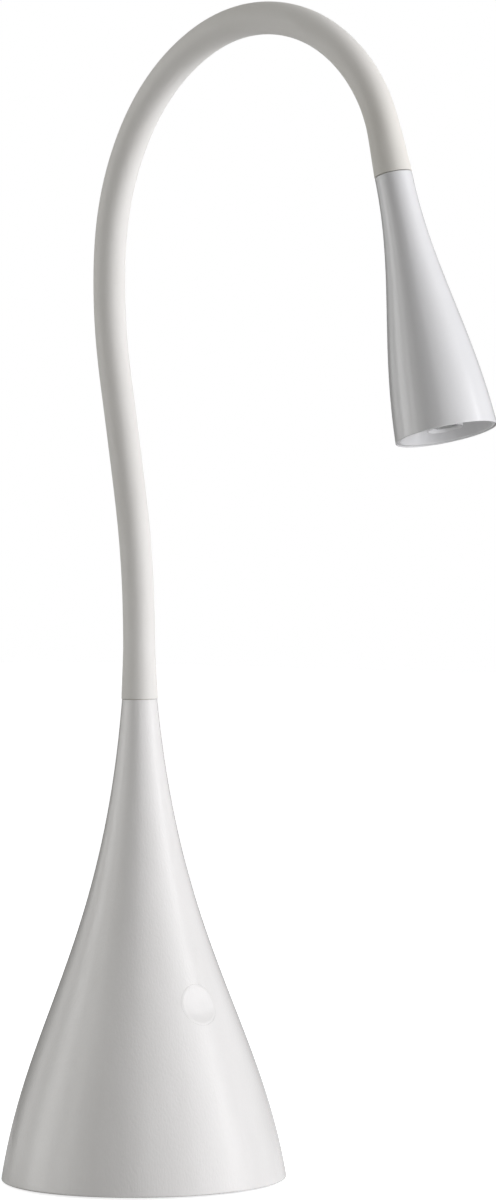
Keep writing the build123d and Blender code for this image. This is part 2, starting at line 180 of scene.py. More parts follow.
def turnedPiece(name, outline, material, place=np.eye(4), around=96):
    return pieceFromGrids(name, [(turnedGrid(outline, place, around), True, True)], material)


# rings about a frame's axis, from steps of (radius, height) where a height may vary round its ring
def ringGrid(place, steps, around):
    across, up = circle(around)
    return np.stack([placed(place, radius * across, radius * up, height) for radius, height in steps])


# trumpet wall: a cubic curve from a wide foot to a narrow throat, as a function from height to radius,
# moved inwards by inset; an end is (radius, height, lean in degrees from the axis, length of its handle)
def trumpetWall(foot, throat, inset=0.0, samples=3000):
    ends = []
    for (radius, height, lean, pull), side in ((foot, 1), (throat, -1)):
        across, up = sin(radians(lean)), cos(radians(lean))
        end = np.array((radius - inset * up, height - inset * across))
        ends += [end, end + side * pull * np.array((-across, up))]
    footEnd, footHandle, throatEnd, throatHandle = ends
    t = np.linspace(0, 1, samples)[:, None]
    curve = (
        (1 - t) ** 3 * footEnd
        + 3 * (1 - t) ** 2 * t * footHandle
        + 3 * (1 - t) * t * t * throatHandle
        + t ** 3 * throatEnd
    )
    return lambda z: np.interp(z, curve[:, 1], curve[:, 0])


# corner of an outline on a wall
def wallCorner(radiusAt, height, fillet=0):
    return radiusAt(height), height, fillet


# Shader groups shared by the finishes

# kinds of sockets by how many numbers they hold
socketKinds = {1: "NodeSocketFloat", 3: "NodeSocketVector", 4: "NodeSocketColor"}


# a link from another socket, or a constant
def feed(tree, socket, value):
    if isinstance(value, bpy.types.NodeSocket):
        tree.links.new(value, socket)
    else:
        socket.default_value = value


def addNode(tree, kind, inputs=None, **settings):
    node = tree.nodes.new(kind)
    for key, value in settings.items():
        setattr(node, key, value)
    for key, value in (inputs or {}).items():
        feed(tree, node.inputs[key], value)
    return node


# group with named inputs at their default values, and a colour, a roughness and a grain as its outputs
def newGroup(name, inputs):
    group = bpy.data.node_groups.new(name, "ShaderNodeTree")
    for socket, value in inputs.items():
        kind = socketKinds[np.size(value)]
        group.interface.new_socket(name=socket, in_out="INPUT", socket_type=kind).default_value = value
    for socket, size in (("Color", 4), ("Roughness", 1), ("Grain", 1)):
        group.interface.new_socket(name=socket, in_out="OUTPUT", socket_type=socketKinds[size])
    return group, addNode(group, "NodeGroupInput").outputs, addNode(group, "NodeGroupOutput").inputs


# noise on Object coordinates, stretched by a vector socket
def noiseOn(tree, scale, stretch, detail):
    spots = addNode(tree, "ShaderNodeTexCoord").outputs["Object"]
    scaled = addNode(tree, "ShaderNodeVectorMath", {0: spots, 1: stretch}, operation="MULTIPLY")
    inputs = {"Vector": scaled.outputs["Vector"], "Scale": scale, "Detail": detail}
    return addNode(tree, "ShaderNodeTexNoise", inputs).outputs["Fac"]


# value remapped from a range, by default a noise's middle, to low and high, which are numbers or sockets
def remap(tree, value, low, high, middle=(0.3, 0.7)):
    inputs = {"Value": value, "From Min": middle[0], "From Max": middle[1], "To Min": low, "To Max": high}
    return addNode(tree, "ShaderNodeMapRange", inputs, clamp=True).outputs["Result"]


def mixColors(tree, factor, first, second, blend="MIX"):
    inputs = {"Factor": factor, "A": first, "B": second}
    return addNode(tree, "ShaderNodeMix", inputs, data_type="RGBA", blend_type=blend).outputs["Result"]


# moulded skin: a cloudy tone between two colours, a roughness that drifts with it, both lightly speckled,
# and a fine spark-eroded grain for bump
def mouldedSkinGroup(cloudShare=0.75, speckShare=0.25, speckRange=(0.35, 0.65)):
    group, source, sink = newGroup("mouldedSkin", {
        "Tone": (0.8, 0.8, 0.8, 1), "Cloud Tone": (0.7, 0.7, 0.7, 1),
        "Cloud Scale": 30.0, "Stretch": (1.0, 1.0, 1.0),
        "Grain Scale": 2500.0, "Grain Stretch": (1.0, 1.0, 1.0),
        "Smooth": 0.3, "Rough": 0.4,
    })
    cloud = noiseOn(group, source["Cloud Scale"], source["Stretch"], detail=3.0)
    grain = noiseOn(group, source["Grain Scale"], source["Grain Stretch"], detail=2.0)
    speck = remap(group, grain, 0.0, 1.0, speckRange)
    both = {0: speck, 1: speckShare, 2: remap(group, cloud, 0.0, cloudShare)}
    drift = addNode(group, "ShaderNodeMath", both, operation="MULTIPLY_ADD").outputs[0]
    group.links.new(mixColors(group, drift, source["Tone"], source["Cloud Tone"]), sink["Color"])
    group.links.new(remap(group, drift, source["Smooth"], source["Rough"], (0.0, 1.0)), sink["Roughness"])
    group.links.new(grain, sink["Grain"])
    return group


# metal skin: streaks stretched along one axis, between a bright, smooth tone and a dull, rough one
def metalSkinGroup():
    group, source, sink = newGroup("metalSkin", {
        "Bright": (0.7, 0.7, 0.7, 1), "Dull": (0.5, 0.5, 0.5, 1),
        "Streak": (1.0, 1.0, 1.0), "Streak Scale": 400.0,
        "Smooth": 0.25, "Rough": 0.45,
    })
    streak = noiseOn(group, source["Streak Scale"], source["Streak"], detail=4.0)
    wear = remap(group, streak, 0.0, 1.0)
    group.links.new(mixColors(group, wear, source["Bright"], source["Dull"]), sink["Color"])
    group.links.new(remap(group, wear, source["Smooth"], source["Rough"], (0.0, 1.0)), sink["Roughness"])
    group.links.new(streak, sink["Grain"])
    return group


mouldedSkin = mouldedSkinGroup()
metalSkin = metalSkinGroup()
grainDepth = 0.05 * mm


def newMaterial(name):
    material = bpy.data.materials.new(name)
    material.use_nodes = True
    return material, material.node_tree


def feedPrincipled(tree, inputs):
    for socket, value in inputs.items():
        feed(tree, tree.nodes["Principled BSDF"].inputs[socket], value)


# a Principled finish fed by one of the groups, with its grain as bump
def newFinish(name, group, values, bumpStrength, bumpDepth, shader):
    material, tree = newMaterial(name)
    skin = addNode(tree, "ShaderNodeGroup", values, node_tree=group).outputs
    relief = {"Strength": bumpStrength, "Distance": bumpDepth, "Height": skin["Grain"]}
    normal = addNode(tree, "ShaderNodeBump", relief).outputs["Normal"]
    fed = {"Base Color": skin["Color"], "Roughness": skin["Roughness"], "Normal": normal}
    feedPrincipled(tree, {**fed, **shader})
    return material


def moulded(name, tone, cloud, smooth, rough, grain=2500.0, bump=0.08, clouds=30.0, stretch=(1, 1, 1),
            grainStretch=(1, 1, 1), depth=grainDepth, **shader):
    values = {
        "Tone": (*tone, 1), "Cloud Tone": (*cloud, 1), "Cloud Scale": clouds, "Stretch": stretch,
        "Grain Scale": grain, "Grain Stretch": grainStretch, "Smooth": smooth, "Rough": rough,
    }
    return newFinish(name, mouldedSkin, values, bump, depth, shader)


def metal(name, bright, dull, smooth, rough, streak=(1, 1, 1), scale=400.0, bump=0.1):
    values = {
        "Bright": (*bright, 1), "Dull": (*dull, 1), "Streak": streak, "Streak Scale": scale,
        "Smooth": smooth, "Rough": rough,
    }
    return newFinish(name, metalSkin, values, bump, grainDepth, {"Metallic": 1.0})


def grey(tone):
    return tone, tone, tone


# each finish: its name, its two tones, its lowest and highest roughness, then what else it sets
finishes = {
    "base_plastic": moulded(
        "baseSatinWhite", (0.863, 0.851, 0.83), (0.83, 0.818, 0.796), 0.15, 0.22, grain=1500, bump=0.8,
        clouds=120.0, stretch=(1, 1, 0.06), grainStretch=(1, 1, 0.3), depth=0.1 * mm,
    ),
    "head_plastic": moulded(
        "headGlossWhite", (0.766, 0.766, 0.765), (0.746, 0.746, 0.745), 0.17, 0.23, grain=900, bump=0.02,
        IOR=1.57,
    ),
    "dish_plastic": moulded("dishWhite", grey(0.745), grey(0.715), 0.22, 0.30, grain=1500, bump=0.03),
    # lens holder: the dish's plastic painted lighter, a painted highlight on its lip
    "ring_painted_highlight": moulded("ringPaintedHighlight", grey(0.82), grey(0.79), 0.15, 0.22, grain=1500, bump=0.03),
    "sleeve_silicone": moulded(
        "sleeveWarmSilicone", (0.825, 0.81, 0.775), (0.78, 0.765, 0.725), 0.55, 0.68, grain=1800, bump=0.1,
    ),
    "rubber": moulded("footBlackRubber", grey(0.03), (0.05, 0.05, 0.048), 0.6, 0.8, grain=900, bump=0.3),
    "black_plastic": moulded("componentBlack", grey(0.02), grey(0.035), 0.35, 0.5),
    "circuit_board": moulded("boardGreenMask", (0.015, 0.12, 0.05), (0.02, 0.17, 0.07), 0.25, 0.4, grain=600),
    "led_board_white": moulded("lightBoardWhite", (0.78, 0.78, 0.77), (0.72, 0.72, 0.71), 0.3, 0.45),
    "led_phosphor": moulded("lightYellowPhosphor", (0.85, 0.7, 0.15), (0.8, 0.6, 0.1), 0.3, 0.4, grain=1500),
    "lead_insulation": moulded("leadRed", (0.5, 0.03, 0.025), (0.42, 0.025, 0.02), 0.35, 0.5),
    "clear_lens": moulded(
        "clearOptic", (0.97, 0.98, 0.98), (0.94, 0.96, 0.97), 0.02, 0.06, grain=300, bump=0.01,
        **{"Transmission Weight": 1.0, "IOR": 1.49},
    ),
    "plate_steel": metal("plateZinc", (0.62, 0.62, 0.63), (0.48, 0.48, 0.47), 0.3, 0.5, (1, 12, 12), 60.0),
    "ballast_iron": metal(
        "ballastRawIron", (0.16, 0.15, 0.14), (0.07, 0.065, 0.06), 0.6, 0.85, scale=500, bump=0.6,
    ),
    "screw_steel": metal("screwZinc", (0.66, 0.66, 0.65), (0.5, 0.5, 0.47), 0.25, 0.45, scale=900),
    "fitting_brass": metal(
        "fittingBrass", (0.78, 0.58, 0.28), (0.58, 0.41, 0.18), 0.22, 0.42, streak=(1, 1, 20), scale=200,
    ),
    "core_steel": metal("coreOiledWire", grey(0.5), (0.32, 0.31, 0.3), 0.28, 0.5, scale=700),
    "sink_aluminium": metal(
        "sinkTurnedAluminium", (0.8, 0.8, 0.81), (0.66, 0.66, 0.67), 0.25, 0.42, streak=(1, 1, 14), scale=180,
    ),
}
print("finishes:", len(finishes))

# every solid part that stays takes its slot's finish
for part in record["subparts"]:
    carried = nodes[part["node"]]
    carried.data.materials.clear()
    carried.data.materials.append(finishes[part["material_slot"]])


# Base shell: a turned wall with an opening for the button and one for the gland

base = {
    "foot": (57.5 * mm, 0.8 * mm, 9.2, 65.5 * mm),
    "throat": (7.1 * mm, 193.9 * mm, 5.0, 100.0 * mm),
    "wall": 2.2 * mm,
    "web": 36.5 * mm,
    "stemHole": 4.05 * mm,
    "rimRound": 0.6 * mm,
    "lipRound": 0.3 * mm,
    "holeEdge": 0.2 * mm,
    "ledgeRound": 0.5 * mm,
    "rimZone": 2.0 * mm,
    "rowStep": 1.5 * mm,
    "around": 180,
}
button = {
    "height": 73.3 * mm,
    "azimuth": -7.0,
    "hole": 8.5 * mm,
    "holeRound": 0.08 * mm,
    "play": 0.3 * mm,
    "bossWall": 2.5 * mm,
    "bossDepth": 6.0 * mm,
    "gap": 0.02 * mm,
    "capRound": 0.1 * mm,
    "faceMargin": 0.12 * mm,
    "skirt": 0.2 * mm,
    "dish": 0.8 * mm,
    "dishFloor": 2.0 * mm,
    "dishEdge": 7.45 * mm,
    "flange": 1.5 * mm,
    "flangeThick": 1.0 * mm,
    "flangeRound": 0.2 * mm,
    "plunger": 1.6 * mm,
    "plungerLength": 3.7 * mm,
    "rootRound": 0.3 * mm,
    "window": 14.0 * mm,
    "faceRings": 60,
    "edgeRings": 7,
    "around": 96,
}
gland = {
    "height": 14.0 * mm, "azimuth": 180.0, "hole": 4.15 * mm, "holeRound": 0.2 * mm, "neck": 4.1 * mm,
    "flange": 5.8 * mm, "flangeThick": 1.2 * mm, "innerRound": 0.3 * mm, "collarRound": 0.7 * mm,
    "skirt": 0.2 * mm, "bore": 2.6 * mm, "boreRound": 0.5 * mm, "window": 9.0 * mm, "around": 64,
}
holeSteps = {
    "outer": np.linspace(0.12, 0.88, 8),  # shares of the way from the window to the hole
    "guards": (1.06, 1.02),  # last rings before the rounded edge, by the edge's radius
    "edge": 6,
    "inner": (0.35, 0.7),  # shares of the way back to the window
}
posts = {"around": 32, "sink": 0.4 * mm, "samples": 400}
platePost = {
    "radius": 3.5 * mm, "hole": 1.55 * mm, "foot": 4.0 * mm, "depth": 7.0 * mm,
    "circle": 44.0 * mm, "count": 3,
}
switchPost = {
    "radius": 2.6 * mm, "hole": 1.05 * mm, "foot": -13.9 * mm, "depth": 5.4 * mm,
    "spacing": 30.0 * mm,
}

outerRadius = trumpetWall(base["foot"], base["throat"])
innerRadius = trumpetWall(base["foot"], base["throat"], base["wall"])


# frame on the outer wall at a piece's height and azimuth: z square out of the wall, y up along it, x level;
# the wall's lean comes from its radius a step below and above
def wallPlace(piece, step=0.5 * mm):
    height, turn = piece["height"], radians(piece["azimuth"])
    radius = outerRadius(height)
    lean = np.arctan2(outerRadius(height - step) - outerRadius(height + step), 2 * step)
    out = (cos(lean) * cos(turn), cos(lean) * sin(turn), sin(lean))
    up = (-sin(lean) * cos(turn), -sin(lean) * sin(turn), cos(lean))
    return placeAt((radius * cos(turn), radius * sin(turn), height), out, up)


# height over a touching plane at which a point lies on a trumpet wall: steps along the plane's normal
def liftToWall(place, x, y, radiusAt, steps=40):
    lift = 0 * x
    slope = np.hypot(place[0, 2], place[1, 2])
    for _ in range(steps):
        spot = placed(place, x, y, lift)
        lift = lift - (np.hypot(spot[..., 0], spot[..., 1]) - radiusAt(spot[..., 2])) * slope
    return lift


# rings from a window in the outer wall to a round hole, down its side, and back to the inner wall's window;
# a boss, where there is one, lengthens the hole inwards
def holeRings(piece, outerRing, innerRing):
    place = wallPlace(piece)
    hole, edge = piece["hole"], piece["holeRound"]
    window = ((outerRing - place[:3, 3]) @ place[:3, :3])[:, :2]
    innerWindow = ((innerRing - place[:3, 3]) @ place[:3, :3])[:, :2]
    angle = np.arctan2(window[:, 1], window[:, 0])
    ways = np.stack([np.cos(angle), np.sin(angle)], axis=1)

    def onWall(spots, wall, lift=0.0):
        x, y = spots.T
        return placed(place, x, y, lift + liftToWall(place, x, y, wall))

    guard, lastGuard = [(hole + edge) * share for share in holeSteps["guards"]]
    rings = [onWall(window * (1 - share) + guard * ways * share, outerRadius) for share in holeSteps["outer"]]
    rings += [onWall(guard * ways, outerRadius), onWall(lastGuard * ways, outerRadius)]
    for tilt in np.linspace(0, pi / 2, holeSteps["edge"]):
        rings.append(onWall((hole + edge * (1 - sin(tilt))) * ways, outerRadius, -edge * (1 - cos(tilt))))
    if "bossWall" in piece:
        outside = hole + piece["bossWall"]
        rings += [placed(place, *(radius * ways).T, -piece["bossDepth"]) for radius in (hole, outside)]
    else:
        outside = hole + edge
        rings.append(onWall(hole * ways, innerRadius))
    rings.append(onWall(outside * ways, innerRadius))
    for share in holeSteps["inner"]:
        rings.append(onWall(outside * ways * (1 - share) + innerWindow * share, innerRadius))
    return np.stack(rings)


# screw post: a drilled column from its foot up to topAt, which gives the wall's height over each point
def postGrid(place, x, y, post, topAt):
    across, up = circle(posts["around"])
    radius, hole, foot = post["radius"], post["hole"], post["foot"]
    drilled = foot + post["depth"]
    top = topAt(x + radius * across, y + radius * up) + posts["sink"]
    steps = [(0, drilled), (hole, drilled), (hole, foot), (radius, foot), (radius, top), (0, top.mean())]
    return np.stack([placed(place, x + reach * across, y + reach * up, height) for reach, height in steps])


# three posts for the plate stand upright on a circle, two for the switch beside the button, along its axis
def postGrids():
    heights = np.linspace(base["foot"][1], base["throat"][1] - base["web"], posts["samples"])
    place = wallPlace(button)

    def upright(x, y):
        return np.interp(-np.hypot(x, y), -innerRadius(heights), heights)

    def alongButton(x, y):
        return liftToWall(place, x, y, innerRadius)

    grids = []
    for turn in np.arange(platePost["count"]) * 2 * pi / platePost["count"]:
        x, y = platePost["circle"] * cos(turn), platePost["circle"] * sin(turn)
        grids.append(postGrid(np.eye(4), x, y, platePost, upright))
    for side in (-1, 1):
        grids.append(postGrid(place, side * switchPost["spacing"] / 2, 0, switchPost, alongButton))
    return grids


# outline up the outside, over the lip, down the stem's hole, along the web, down the inside, round the rim;
# also gives the rows of its outside and the number of its lowest inside point
def baseOutline():
    foot, top = base["foot"][1], base["throat"][1]
    ledge, zoneTop = top - base["web"], foot + base["rimZone"]
    rows = np.arange(zoneTop, top - base["rimZone"], base["rowStep"])
    innerRows = rows[rows < ledge - base["rowStep"]]
    lip = roundedOutline([
        wallCorner(outerRadius, rows[-1]),
        wallCorner(outerRadius, top, base["lipRound"]),
        (base["stemHole"], top, base["holeEdge"]),
        (base["stemHole"], ledge, base["holeEdge"]),
        wallCorner(innerRadius, ledge, base["ledgeRound"]),
        wallCorner(innerRadius, innerRows[-1]),
    ], closed=False)[1:-1]
    rim = roundedOutline([
        wallCorner(innerRadius, zoneTop),
        wallCorner(innerRadius, foot, base["rimRound"]),
        wallCorner(outerRadius, foot, base["rimRound"]),
        wallCorner(outerRadius, zoneTop),
    ], closed=False)[1:-1]
    outer = np.stack([outerRadius(rows), rows], axis=1)
    inner = np.stack([innerRadius(innerRows), innerRows], axis=1)[::-1]
    return np.concatenate([outer, lip, inner, rim]), rows, len(outer) + len(lip) + len(inner) - 1


# ring of rows and columns round a hole's window in the wall's grid, and the rows and columns across it
def windowRing(hole, rows):
    low, high = np.searchsorted(rows, [hole["height"] - hole["window"], hole["height"] + hole["window"]])
    centre = round((hole["azimuth"] - button["azimuth"]) / 360 * base["around"])
    reach = int(np.ceil(hole["window"] / outerRadius(hole["height"]) / (2 * pi) * base["around"]))
    cols = np.arange(centre - reach, centre + reach + 1) % base["around"]
    band = np.arange(low, high + 1)
    ringRows = np.concatenate([0 * cols[:-1] + low, band[:-1], 0 * cols[:-1] + high, band[:0:-1]])
    ringCols = np.concatenate([cols[:-1], 0 * band[:-1] + cols[-1], cols[:0:-1], 0 * band[1:] + cols[0]])
    return ringRows, ringCols, band, cols


def makeBaseShell():
    outline, rows, lastInner = baseOutline()
    grid = turnedGrid(outline, around=base["around"], phase=radians(button["azimuth"]))
    flat = grid.reshape(-1, 3)
    index = np.arange(len(flat)).reshape(grid.shape[:2])
    keep = np.ones(index.shape, bool)
    grids = []
    for hole in (button, gland):
        ringRows, ringCols, band, cols = windowRing(hole, rows)
        outerRing, innerRing = index[ringRows, ringCols], index[lastInner - ringRows, ringCols]
        keep[np.ix_(band[:-1], cols[:-1])] = False
        keep[np.ix_(lastInner - band[1:], cols[:-1])] = False
        rings = holeRings(hole, flat[outerRing], flat[innerRing])
        grids.append((rings, [outerRing[None]], [innerRing[None]]))
    grids += [(post, [], []) for post in postGrids()]
    points = [flat]
    quads = [quadsOf(index, closeRows=True, closeCols=True).reshape(*index.shape, 4)[keep]]
    count = len(flat)
    for grid, before, after in grids:
        made = count + np.arange(grid[..., 0].size).reshape(grid.shape[:2])
        points.append(grid.reshape(-1, 3))
        quads.append(quadsOf(np.concatenate([*before, made, *after]), closeCols=True))
        count += made.size
    piece = newPiece("baseShell", np.concatenate(points), np.concatenate(quads), finishes["base_plastic"])
    finishPiece(piece, "base", "base_plastic", "base_shell")


makeBaseShell()
print("base shell done")


# Push button: a dished cap that follows the wall, with its guide, flange and plunger below

def makeButton():
    place = wallPlace(button)
    capRadius = button["hole"] - button["gap"]
    across, up = circle(button["around"])

    # the wall's surface, sunk by the dish's depth over its floor, then rising with the square of the way
    # to the dish's edge
    def face(radius):
        wall = liftToWall(place, radius * across, radius * up, outerRadius)
        share = np.clip((radius - button["dishFloor"]) / (button["dishEdge"] - button["dishFloor"]), 0, 1)
        return wall - button["dish"] * (1 - share ** 2)

    edge = button["capRound"]
    faceRadii = np.linspace(0, capRadius - button["faceMargin"], button["faceRings"])
    steps = [(radius, face(radius)) for radius in faceRadii]
    shoulder = face(capRadius - edge)
    for tilt in np.linspace(0, pi / 2, button["edgeRings"]):
        steps.append((capRadius - edge * (1 - sin(tilt)), shoulder - edge * (1 - cos(tilt))))
    flangeRadius = button["hole"] + button["flange"]
    flangeTop = -button["bossDepth"] - button["play"]
    flangeBottom = flangeTop - button["flangeThick"]
    plungerEnd = flangeBottom - button["plungerLength"]
    guide = roundedOutline([
        (capRadius, shoulder.min() - button["skirt"], 0),
        (capRadius, flangeTop, button["rootRound"]),
        (flangeRadius, flangeTop, button["flangeRound"]),
        (flangeRadius, flangeBottom, button["flangeRound"]),
        (button["plunger"], flangeBottom, button["rootRound"]),
        (button["plunger"], plungerEnd, button["rootRound"]),
        (0, plungerEnd, 0),
    ], closed=False)
    grid = ringGrid(place, [*steps, *guide], button["around"])
    piece = pieceFromGrids("buttonCap", [(grid, False, True)], finishes["base_plastic"])
    finishPiece(piece, "button", "base_plastic", "button_cap")


makeButton()
print("button done")


# Cord gland: a rounded collar seated on the rear wall, and the foot pad under the base

def makeGland():
    place = wallPlace(gland)
    across, up = circle(gland["around"])
    front, seat = gland["flangeThick"], -base["wall"]
    back = seat - gland["flangeThick"]
    collar = roundedOutline([
        (gland["neck"], seat, 0),
        (gland["flange"], seat, gland["innerRound"]),
        (gland["flange"], back, gland["innerRound"]),
        (gland["bore"], back, gland["innerRound"]),
        (gland["bore"], front, gland["boreRound"]),
        (gland["flange"], front, gland["collarRound"]),
        (gland["flange"], gland["skirt"], 0),
    ], closed=False)
    onWall = [
        (radius, liftToWall(place, radius * across, radius * up, outerRadius))
        for radius in (gland["flange"], gland["neck"])
    ]
    grid = ringGrid(place, [*collar, *onWall], gland["around"])
    piece = pieceFromGrids("cordGland", [(grid, True, True)], finishes["rubber"])
    finishPiece(piece, "base", "rubber", "cord_gland")


footPad = {"lowerEdge": 0.5 * mm, "upperEdge": 0.25 * mm, "around": 128}


def makeFootPad():
    low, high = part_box("foot_pad")
    radius = (high.x - low.x) / 2
    outline = roundedOutline([
        (0, low.z, 0),
        (radius, low.z, footPad["lowerEdge"]),
        (radius, high.z, footPad["upperEdge"]),
        (0, high.z, 0),
    ])
    piece = turnedPiece("footPad", outline, finishes["rubber"], around=footPad["around"])
    finishPiece(piece, "base", "rubber", "foot_pad")


makeGland()
makeFootPad()
print("gland and foot pad done")


# Neck route: the heading turns evenly along each arc from hinge to hinge, softened where the arcs meet

neck = {
    "radius": 6.4 * mm,
    "bore": 4.85 * mm,
    "boreRows": 40,
    "cuffRadius": 7.35 * mm,
    "cuffBore": 5.85 * mm,
    "cuffLength": 20.0 * mm,
    "cuffStep": 19.3 * mm,
    "cuffRound": 0.25 * mm,
    "cuffRings": 7,
    "seamGap": 0.2 * mm,
    "kink": 0.10,
    "freeLength": 10.0 * mm,
    "headBend": radians(-12.9),
    "softening": 20.0 * mm,
    "step": 0.75 * mm,
    "around": 64,
    "bendReach": 25.0 * mm,
    # the sleeve's painted shade by the head: where it starts, where it is whole, and its tint
    "paintedShadeFrom": 65.0 * mm,
    "paintedShadeFull": 20.0 * mm,
    "paintedShadeTint": (0.92, 0.914, 0.892, 1),
}
core = {
    "radius": 4.75 * mm, "bore": 2.4 * mm, "wireDepth": 0.22 * mm, "pitch": 2.4 * mm, "seat": 5.0 * mm,
    "rowsPerTurn": 6, "boreRows": 24, "around": 40,
}
leads = {
    "radius": 0.9 * mm, "spacing": 2.2 * mm, "driverTop": 32.6 * mm, "boardBack": 15.9 * mm,
    "step": 1.5 * mm, "around": 16,
}
head = {  # here, because the neck's leads run on into it
    "length": 102.7 * mm,
    "mouth": (19.7 * mm, 0.0, 2.9, 41.0 * mm),
    "throat": (7.25 * mm, 102.7 * mm, 0.0, 37.5 * mm),
    "wall": 1.6 * mm,
    "web": 22.0 * mm,
    "rimWall": 0.6 * mm,
    "stemHole": 4.05 * mm,
    "rimRound": 0.25 * mm,
    "lipRound": 0.45 * mm,
    "holeEdge": 0.2 * mm,
    "ledgeRound": 0.3 * mm,
    "rimZone": 1.2 * mm,
    "dishSeat": 1.7 * mm,
    "seatRound": 0.1 * mm,
    "seatRun": 1.7 * mm,
    "sinkSeat": 19.4 * mm,
    "shoulder": 1.6 * mm,
    "shoulderThick": 3.0 * mm,
    "shoulderRound": 0.2 * mm,
    "shoulderRun": 2.24 * mm,
    "outerRows": 120,
    "lowerRows": 14,
    "upperRows": 30,
    "around": 160,
}

hinges = [joint for joint in frame["joints"] if joint["type"] == "hinge"]
hingeSpots = np.array([joint["pos_m"] for joint in hinges])[:, (0, 2)]
chords = np.diff(hingeSpots, axis=0)
chordHeadings = np.unwrap(np.arctan2(chords[:, 1], chords[:, 0]))
headings = [pi / 2]
for chordHeading in chordHeadings:
    headings.append(2 * chordHeading - headings[-1])  # an arc's chord lies midway between its end headings
halfBends = np.abs(np.diff(headings)) / 2
linkLengths = np.linalg.norm(chords, axis=1) * halfBends / np.sin(halfBends)
hingeStations = neck["cuffLength"] + neck["freeLength"] + np.concatenate([[0], np.cumsum(linkLengths)])
neckLength = hingeStations[-1] + neck["freeLength"] + neck["cuffLength"]
stations = np.concatenate([hingeStations, [hingeStations[-1] + neck["freeLength"]]])
headings.append(headings[-1] + neck["headBend"])

# dense line along the neck, run on straight into the base and the head
tick = 0.1 * mm
line = np.arange(-base["throat"][1], neckLength + head["length"], tick)
sharpHeading = np.interp(line, stations, headings)
width = int(neck["softening"] / tick)
padded = np.pad(sharpHeading, width // 2, mode="edge")
softHeading = np.convolve(padded, np.ones(width) / width, mode="valid")[:len(line)]


# place along a heading, summed from the base's throat up
def layLine(heading):
    spots = np.cumsum(np.stack([np.cos(heading), np.sin(heading)], axis=1) * tick, axis=0)
    start = np.searchsorted(line, 0.0)
    return spots - spots[start] + np.array((0.0, base["throat"][1]))


sharpLine, softLine = layLine(sharpHeading), layLine(softHeading)
lastSpot = np.searchsorted(line, neckLength)
drift = sharpLine[lastSpot] - softLine[lastSpot]
softLine += np.clip(line / neckLength, 0, 1)[:, None] * drift
headHeading = headings[-1]
headSeam = np.array((sharpLine[lastSpot, 0], 0, sharpLine[lastSpot, 1]))


# middle of the neck in the bending plane and its heading, at distances along it
def neckAt(distance):
    return [np.interp(distance, line, track) for track in (*softLine.T, softHeading)]


# tube along the neck: at each distance a circle of the given radius, set off sideways by offset;
# a helix, where there is one, adds to the radius by the distance and the turn
def neckTube(distance, radius, around, offset=0.0, helix=None):
    turn = np.linspace(0, 2 * pi, around, endpoint=False)
    x, z, heading = (value[:, None] for value in neckAt(distance))
    reach = radius[:, None] + 0 * turn
    if helix is not None:
        reach = reach + helix(distance[:, None], turn)
    side, rise = reach * np.cos(turn) + offset, reach * np.sin(turn)
    return np.stack([x - np.sin(heading) * rise, side, z + np.cos(heading) * rise], axis=-1)


# outside of the sleeve: plain along the neck, widening evenly over the fitting at each end with a soft kink,
# and rounded at its very ends
def sleeveRadius(distance):
    fromEnd = np.minimum(distance, neckLength - distance) - neck["seamGap"]
    share = 1 - fromEnd / neck["cuffLength"]
    flare = (share + np.sqrt(share ** 2 + neck["kink"] ** 2)) / 2
    radius = neck["radius"] + (neck["cuffRadius"] - neck["radius"]) * flare
    edge = np.clip(neck["cuffRound"] - fromEnd, 0, neck["cuffRound"])
    return radius - (neck["cuffRound"] - np.sqrt(neck["cuffRound"] ** 2 - edge ** 2))


# distances from one end to the other, closer together on a rounded end
def spaced(first, last, step):
    plain = np.linspace(first, last, int((last - first) / step) + 2)
    tilt = np.linspace(0, pi / 2, neck["cuffRings"])
    rounding = neck["seamGap"] + neck["cuffRound"] * (1 - np.cos(tilt))
    extra = np.concatenate([rounding, neckLength - rounding])
    return np.unique(np.concatenate([plain, extra[(extra >= first) & (extra <= last)]]))


# painted shade: the sleeve is painted a little darker and warmer near the head: its colour times a tint, by the
# share on its points
def addPaintedShadeNearHead(material):
    tree = material.node_tree
    baseColor = tree.nodes["Principled BSDF"].inputs["Base Color"]
    plain = baseColor.links[0].from_socket
    share = addNode(tree, "ShaderNodeAttribute", attribute_name="paintedShadeShare").outputs["Fac"]
    tree.links.new(mixColors(tree, share, plain, neck["paintedShadeTint"], "MULTIPLY"), baseColor)


# share of the painted shade on each point, by its distance from the head's seam: none at the farther distance set
# in neck, whole from the nearer one on
def markPaintedShadeNearHead(piece):
    spots = np.empty(len(piece.data.vertices) * 3, np.float32)
    piece.data.vertices.foreach_get("co", spots)
    apart = np.linalg.norm(spots.reshape(-1, 3) - headSeam, axis=1)
    share = np.clip((neck["paintedShadeFrom"] - apart) / (neck["paintedShadeFrom"] - neck["paintedShadeFull"]), 0, 1)
    marks = piece.data.attributes.new("paintedShadeShare", "FLOAT", "POINT")
    marks.data.foreach_set("value", share.astype(np.float32))


# sleeve between two distances: forwards along its outside and back along its bore, wider in the cuffs
def sleeveGrid(first, last):
    outside = spaced(first, last, neck["step"])
    inside = np.linspace(last, first, neck["boreRows"])
    inCuff = np.minimum(inside, neckLength - inside) < neck["cuffStep"]
    radius = np.concatenate([sleeveRadius(outside), np.where(inCuff, neck["cuffBore"], neck["bore"])])
    return neckTube(np.concatenate([outside, inside]), radius, neck["around"])


